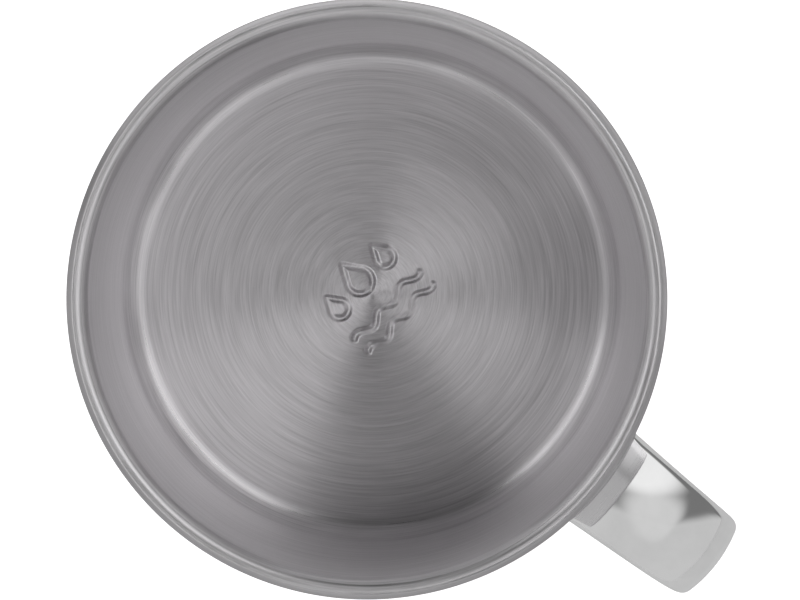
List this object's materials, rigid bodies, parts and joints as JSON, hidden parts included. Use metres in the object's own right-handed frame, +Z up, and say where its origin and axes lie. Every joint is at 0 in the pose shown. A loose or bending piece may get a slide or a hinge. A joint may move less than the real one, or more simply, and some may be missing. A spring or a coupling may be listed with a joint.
{
  "type": "shaving mug",
  "caption": "Low round double-wall steel mug with a rolled lip, a brushed inside and a hollow polished ear handle.",
  "frame": {"origin": "centre of the foot's flat ring, on the mug's axis, in the plane that the mug stands on", "axes": "+Z up along the mug's axis and out of its mouth; +X out along the handle; +Y across the handle"},
  "size_m": [0.1133, 0.09, 0.063],
  "materials": {
    "brushed_liner": "circular brushed stainless steel",
    "polished_body": "polished stainless steel",
    "polished_handle": "mirror polished stainless steel",
    "satin_base": "satin stainless steel",
    "dressed_weld": "weld dressed flush and polished"
  },
  "bodies": {
    "root": {"inner_cup": "brushed_liner", "outer_shell": "polished_body", "rim_weld": "dressed_weld", "base_plate": "satin_base", "base_weld": "dressed_weld", "vent_plug": "satin_base", "handle_outer_half": "polished_handle", "handle_inner_half": "polished_handle", "handle_seam_weld": "dressed_weld", "handle_upper_weld": "dressed_weld", "handle_lower_weld": "dressed_weld"}
  },
  "joints": []
}
